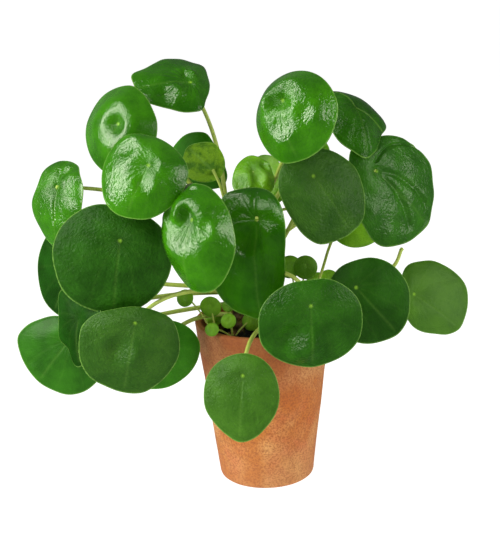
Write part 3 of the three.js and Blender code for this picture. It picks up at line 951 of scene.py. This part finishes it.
def soil_finish():
    """Potting soil: nearly black, damp and crumbly."""
    finish = Finish("soil")
    grains = finish.noise(420, 5, roughness=0.7)
    brown = finish.tinted("060403", "1c120d", grains, 0.4, 0.7)
    normal = finish.bump(grains, 0.0012)
    return finish.done(Base_Color=brown, Roughness=0.9, Normal=normal)


def terracotta_finish():
    """Fired clay: mottled orange with redder stains and fine pits, darker at the foot, and at the top
    redder with painted shade under the lip.
    """
    finish = Finish("terracotta")
    place = finish.place()
    height = finish.node("SeparateXYZ", {"Vector": place}).outputs["Z"]
    stains = finish.noise(30, place=finish.stretched(place, (1, 1, 0.35)))
    pits = finish.noise(620, roughness=0.68)
    clay = finish.tinted("cc7c30", "e4a962", finish.noise(22), 0.42, 0.58)
    clay = finish.tinted(clay, "c46218", stains, 0.48, 0.68, 0.6)
    clay = finish.tinted(clay, "d96e4c", finish.noise(60), 0.5, 0.7, 0.3)
    clay = finish.tinted(clay, "9c4e20", pits, 0.44, 0.62, 0.75)
    # Darker and redder towards the top: partly the rim's own redder tone and partly painted shade under the
    # lip.
    clay = finish.tinted(clay, "a0562c", height, 0.07, 0.13, 0.65)
    clay = finish.tinted(clay, "bf7c4c", height, 0.05, 0.0, 0.4)
    return finish.done(Base_Color=clay, Roughness=0.78, Normal=finish.bump(pits, 0.0006))


# ---- pot, soil and stems ----

# Lumps are how many go in a metre, and how high they are in mm. A scar's rate is in radians a metre.
POT_SIDES = 160
POT_FLOOR_HEIGHT = 8 * MM
POT_STEP = 2.5 * MM
CLAY_LUMPS = ((22, 0.35), (90, 0.12))
DRAIN_HOLES = 3
DRAIN_HOLE_RADIUS = 2.5 * MM
DRAIN_RING_RADIUS = 20 * MM
DRAIN_HOLE_SIDES = 24
DRAIN_PIN_TURN = math.radians(4)
DRAIN_PIN_REACH = 2 * MM
PAST_DRAIN_HOLES = 26 * MM
SHARP_ANGLE = math.radians(50)
SOIL_RINGS = 60
SOIL_SIDES = 150
SOIL_DEPTH = 12 * MM
SOIL_GAP = 0.2 * MM
SOIL_LUMPS = ((140, 1.3), (420, 0.9))
BARK_LUMPS = ((160, 0.7), (520, 0.35))
SCAR_DEPTH = 0.5 * MM
SCAR_RATE = 900
SCAR_WAVER = 2
WAVER_FINENESS = 60


def pot_profile():
    """The pot's section as radii and heights, from its base outside to its floor inside."""
    points, neighbours = welded("pot")
    in_section = (np.abs(points[:, 0]) < WELD_DISTANCE) & (points[:, 1] > PAST_DRAIN_HOLES)
    column = np.flatnonzero(in_section).tolist()
    on_base = [at for at in column if points[at][2] < WELD_DISTANCE]
    line = [max(on_base, key=lambda at: points[at][1])]
    while True:
        onward = [other for other in neighbours[line[-1]] if other in column and other not in line]
        if not onward:
            return [(points[at][1], points[at][2]) for at in line]
        line.append(min(onward, key=lambda at: np.linalg.norm(points[at] - points[line[-1]])))


def turned_skin(profile, sides, roughen):
    """A closed skin round the Z axis from a profile that starts and ends on it."""
    turns = np.linspace(0, 2 * math.pi, sides, endpoint=False)
    around = np.stack([np.cos(turns), np.sin(turns), np.zeros(sides)], axis=1)
    points = [np.array([0, 0, profile[0][1]])]
    for radius, height in profile[1:-1]:
        ring = around * radius
        ring[:, 2] = height
        points.extend(roughen(point) for point in ring)
    points.append(np.array([0, 0, profile[-1][1]]))
    skin = Skin()
    skin.add(points, ring_faces(len(profile) - 2, sides))
    return skin


def filled_in(line, longest):
    """The line with points added where two are further apart than the longest step."""
    filled = [line[0]]
    for start, end in zip(line, line[1:]):
        steps = max(1, math.ceil(math.dist(start, end) / longest))
        for step in range(1, steps + 1):
            filled.append(tuple(a + (b - a) * step / steps for a, b in zip(start, end)))
    return filled


def drill(pot):
    """Cuts the drain holes through the base of the pot."""
    low = -DRAIN_PIN_REACH
    high = POT_FLOOR_HEIGHT + DRAIN_PIN_REACH
    section = [(0, low), (DRAIN_HOLE_RADIUS, low), (DRAIN_HOLE_RADIUS, high), (0, high)]
    pins = []
    for hole in range(DRAIN_HOLES):
        angle = 2 * math.pi * (hole + 0.5) / DRAIN_HOLES
        pin = turned_skin(section, DRAIN_HOLE_SIDES, lambda point: point).build("drain_pin")
        pin.location = Vector((math.cos(angle), math.sin(angle), 0)) * DRAIN_RING_RADIUS
        pin.rotation_euler.z = angle + DRAIN_PIN_TURN
        cut = pot.modifiers.new("drain_hole", "BOOLEAN")
        cut.operation = "DIFFERENCE"
        cut.object = pin
        pins.append(pin)
    evaluated = pot.evaluated_get(bpy.context.evaluated_depsgraph_get())
    drilled = bpy.data.meshes.new_from_object(evaluated)
    pot.modifiers.clear()
    pot.data = drilled
    drilled.set_sharp_from_angle(angle=SHARP_ANGLE)
    for pin in pins:
        bpy.data.objects.remove(pin)


def make_pot():
    """The pot, turned from the CAD section, slightly uneven, with its drain holes."""

    def uneven(point):
        away = Vector((point[0], point[1], 0)).normalized()
        return np.array(Vector(point) + away * lumps(point, CLAY_LUMPS))

    wall = pot_profile()
    base_centre = (0, wall[0][1])
    floor_centre = (0, wall[-1][1])
    profile = filled_in([base_centre, *wall, floor_centre], POT_STEP)
    pot = turned_skin(profile, POT_SIDES, uneven).build("pot_clay", terracotta_finish())
    drill(pot)
    show(pot, "terracotta", "pot")


def make_soil():
    """The soil's crumbly top layer, which follows the top of the CAD solid."""
    points, _ = welded("soil")
    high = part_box("soil")[1].z
    low = high - SOIL_DEPTH
    radii = np.hypot(points[:, 0], points[:, 1])
    outer = radii.max() - SOIL_GAP
    top = np.array(sorted((radius, point[2]) for radius, point in zip(radii, points) if point[2] > low))

    def crumbly(point):
        return point + UP * lumps(point, SOIL_LUMPS)

    profile = [(0, high)]
    for radius in outer * np.linspace(0, 1, SOIL_RINGS)[1:]:
        profile.append((radius, float(np.interp(radius, top[:, 0], top[:, 1]))))
    profile += [(outer, low), (0, low)]
    skin = turned_skin(profile, SOIL_SIDES, crumbly)
    show(skin.build("soil_top", soil_finish()), "soil", "soil")


def make_stem(node):
    """A stem with lumpy bark, ringed by the scars of fallen leaves."""

    def barky(ring, middle):
        rough = []
        for point in ring:
            waver = SCAR_WAVER * noise.noise(Vector(point) * WAVER_FINENESS)
            scar = SCAR_DEPTH * math.sin(point[2] * SCAR_RATE + waver)
            rough.append(point + unit(point - middle) * (lumps(point, BARK_LUMPS) + scar))
        return np.array(rough)

    skin = Skin()
    centres, radii = read_tube(node, CAD_STEM_SIDES)
    add_tube(skin, centres, radii, STEM_RINGS, STEM_SIDES, roughen=barky)
    show(skin.build(f"{node}_bark", bark_finish()), "stem", node)


# ---- dry scales ----

# The shoots are two that have lost their leaves: how far each is to the right and to the back. A scale's
# lengths are in mm, and its width, cup and lean are shares of its length or of half its width.
SCALE_SEED = 7
SCALE_ROWS = 5
SCALE_COLUMNS = 7
SCALE_THICKNESS = 0.35 * MM
SCALE_TIP = 0.2 * MM
SCALE_WIDTH = 0.7
SCALE_CUP = 0.35
SCALE_LEAN = (0.3, 0.9)
STEM_SCALES = 22
STEM_SPREAD = 15 * MM
STEM_SCALE_LENGTH = (4, 7)
STEM_SCALE_DEPTH = 0.95
SHOOT_SCALES = 6
SHOOT_SPREAD = 3 * MM
SHOOT_RADIUS = 1.2 * MM
YOUNG_SCALE_LENGTH = (4, 6.5)
YOUNG_SCALE_SINK = 1 * MM
BARE_SHOOTS = ((-34 * MM, 7 * MM), (-27 * MM, 12 * MM))
BARE_SCALE_LENGTH = (6, 9)
BARE_SCALE_SINK = 3 * MM


def add_scale(skin, foot, heading, length, lean):
    """Adds one papery leaf base: a pointed, cupped strip that stands on its foot and leans outwards."""
    away = np.array([math.cos(heading), math.sin(heading), 0.0])
    side = np.cross(UP, away)
    points = []
    for face in (0, 1):
        for row in range(SCALE_ROWS):
            up_share = row / (SCALE_ROWS - 1)
            half = SCALE_WIDTH * length / 2 * (1 - up_share**2) + SCALE_TIP
            for column in range(SCALE_COLUMNS):
                off = 2 * column / (SCALE_COLUMNS - 1) - 1
                cup = SCALE_CUP * half * off * off
                outwards = lean * length * up_share**2 - cup - face * SCALE_THICKNESS
                points.append(foot + side * half * off + away * outwards + UP * length * up_share)
    faces = []
    per_face = SCALE_ROWS * SCALE_COLUMNS
    for row in range(SCALE_ROWS - 1):
        for column in range(SCALE_COLUMNS - 1):
            here = row * SCALE_COLUMNS + column
            front = (here, here + 1, here + SCALE_COLUMNS + 1, here + SCALE_COLUMNS)
            faces.append(front)
            faces.append(tuple(per_face + corner for corner in reversed(front)))
    last_row = per_face - SCALE_COLUMNS
    border = list(range(SCALE_COLUMNS))
    border += [row * SCALE_COLUMNS + SCALE_COLUMNS - 1 for row in range(1, SCALE_ROWS)]
    border += [last_row + column for column in reversed(range(SCALE_COLUMNS - 1))]
    border += [row * SCALE_COLUMNS for row in reversed(range(1, SCALE_ROWS - 1))]
    for here, after in zip(border, border[1:] + border[:1]):
        faces.append((after, here, per_face + here, per_face + after))
    skin.add(points, faces, share=np.repeat(np.tile(np.linspace(0, 1, SCALE_ROWS), 2), SCALE_COLUMNS))


def scale_finish():
    """Dry leaf base: straw at its foot and brown at its torn tip."""
    finish = Finish("dry_scale")
    brown = finish.tinted("5a3a1a", "8a6a30", finish.noise(500, 3), 0.35, 0.65)
    brown = finish.tinted("a89a4a", brown, finish.attribute("share"), 0.0, 0.8)
    normal = finish.bump(finish.noise(900), 0.0003)
    return finish.done(Base_Color=brown, Roughness=0.7, Normal=normal)


def make_scales():
    """Dry leaf bases round the foot of the main stem, of each young plant and of two bare shoots."""
    chance = np.random.default_rng(SCALE_SEED)
    centres, radii = read_tube("main_stem", CAD_STEM_SIDES)
    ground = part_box("soil")[1].z
    skin = Skin()

    def scatter(count, foot_at, spread, length_range):
        for _ in range(count):
            heading = chance.uniform(0, 2 * math.pi)
            at, radius = foot_at(chance.uniform(0, spread))
            foot = at + radius * np.array([math.cos(heading), math.sin(heading), 0])
            length = chance.uniform(*length_range) * MM
            add_scale(skin, foot, heading, length, chance.uniform(*SCALE_LEAN))

    def on_stem(rise):
        height = ground + rise
        at = np.array([np.interp(height, centres[:, 2], centres[:, axis]) for axis in range(3)])
        return at, STEM_SCALE_DEPTH * np.interp(height, centres[:, 2], radii)

    scatter(STEM_SCALES, on_stem, STEM_SPREAD, STEM_SCALE_LENGTH)
    shoots = []
    for node in nodes_named("young_plant"):
        points, _ = welded(node)
        across, back, height = points[np.argmin(points[:, 2])]
        shoots.append(((across, back, max(height, ground - YOUNG_SCALE_SINK)), YOUNG_SCALE_LENGTH))
    for across, back in BARE_SHOOTS:
        shoots.append(((across, back, ground - BARE_SCALE_SINK), BARE_SCALE_LENGTH))
    for foot, lengths in shoots:
        scatter(SHOOT_SCALES, lambda rise: (foot + UP * rise, SHOOT_RADIUS), SHOOT_SPREAD, lengths)
    show(skin.build("dry_scales", scale_finish()), "stem")


# ---- stage ----

# Each light's name, azimuth, elevation, width, height, power in watts, and whether reflections show it.
# The room gets brighter over its span of directions, from those towards the camera to those behind.
LIGHTS = (
    ("left_softbox", -64, 29, 0.5, 1.5, 22, True),
    ("right_softbox", 66, 16, 0.6, 0.9, 6, True),
    ("top_fill", -10, 70, 0.9, 0.9, 2, False),
    ("front_fill", 20, 20, 1.2, 1.2, 2, False),
)
LIGHT_DISTANCE = 1.3
LIGHT_AIM = CAMERA_AIM + Vector((0, 0, 0.05))
WHITE = (1, 1, 1, 1)
ROOM_SPAN = (-0.6, 0.9)
ROOM_LIGHT = (0.06, 0.2)
BACKDROP_LIGHT = 1.05
FLOOR_RADIUS = 6.0
FLOOR_SIDES = 96
FLOOR_GREY = (0.3, 0.3, 0.3, 1)
FLOOR_GLOW = 0.98


def make_camera():
    """The camera at the photograph's angle, with its slight roll."""
    place = Matrix.Rotation(math.pi / 2 - CAMERA_ELEVATION, 4, "X") @ Matrix.Rotation(CAMERA_ROLL, 4, "Z")
    place.translation = CAMERA_AIM + place.col[2].xyz * CAMERA_DISTANCE
    camera = in_scene("camera", bpy.data.cameras.new("camera"))
    camera.data.lens = CAMERA_LENS
    camera.matrix_world = place
    bpy.context.scene.camera = camera


def softbox(name, azimuth, elevation, width, height, power, glossy):
    """A soft rectangular light that faces the plant, and that the camera doesn't see."""
    towards = Vector(facing(azimuth, elevation))
    light = bpy.data.lights.new(name, "AREA")
    light.shape = "RECTANGLE"
    light.size = width
    light.size_y = height
    light.energy = power
    lamp = in_scene(name, light)
    lamp.location = LIGHT_AIM + towards * LIGHT_DISTANCE
    lamp.rotation_mode = "QUATERNION"
    lamp.rotation_quaternion = towards.to_track_quat("Z", "Y")
    lamp.visible_camera = False
    lamp.visible_glossy = glossy


def make_surroundings():
    """A dim room with a brighter far side, which the camera sees as plain white."""
    world = bpy.data.worlds.new("room")
    scene.world = world
    world.use_nodes = True
    world.node_tree.nodes.clear()
    nodes = Nodes(world.node_tree)
    direction = nodes.node("TexCoord", {}).outputs["Generated"]
    depth = nodes.node("SeparateXYZ", {"Vector": direction}).outputs["Y"]
    room = nodes.node("Background", {"Strength": nodes.fit(depth, *ROOM_SPAN, *ROOM_LIGHT)})
    backdrop = nodes.node("Background", {"Color": WHITE, "Strength": BACKDROP_LIGHT})
    seen = nodes.node("LightPath", {}).outputs["Is Camera Ray"]
    both = nodes.node("MixShader", {0: seen, 1: room.outputs[0], 2: backdrop.outputs[0]})
    nodes.node("OutputWorld", {"Surface": both.outputs[0]})


def make_floor():
    """A plain pale floor, nearly as bright as the backdrop, which reflections don't show."""
    mesh = bmesh.new()
    bmesh.ops.create_circle(mesh, cap_ends=True, segments=FLOOR_SIDES, radius=FLOOR_RADIUS)
    data = bpy.data.meshes.new("floor")
    mesh.to_mesh(data)
    mesh.free()
    finish = Finish("floor")
    finish.done(Base_Color=FLOOR_GREY, Roughness=0.9, Emission_Color=WHITE, Emission_Strength=FLOOR_GLOW)
    data.materials.append(finish.material)
    floor = in_scene("floor", data)
    floor.visible_glossy = False


def main():
    make_camera()
    make_surroundings()
    make_floor()
    for light in LIGHTS:
        softbox(*light)
    scene.view_settings.view_transform = "Standard"
    make_pot()
    make_soil()
    make_stem("main_stem")
    make_stem("side_stem")
    make_scales()
    for name in nodes_named("stalk_"):
        make_stalk(name)
        make_big_leaf(int(name[-2:]))
    make_stalk("bare_stalk")
    small = [name for name in nodes_named("leaf_") if name.replace("leaf", "stalk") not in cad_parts]
    for seed, name in enumerate(small + nodes_named("young_plant"), SMALL_LEAF_SEED):
        make_small_leaf(name, seed)


main()
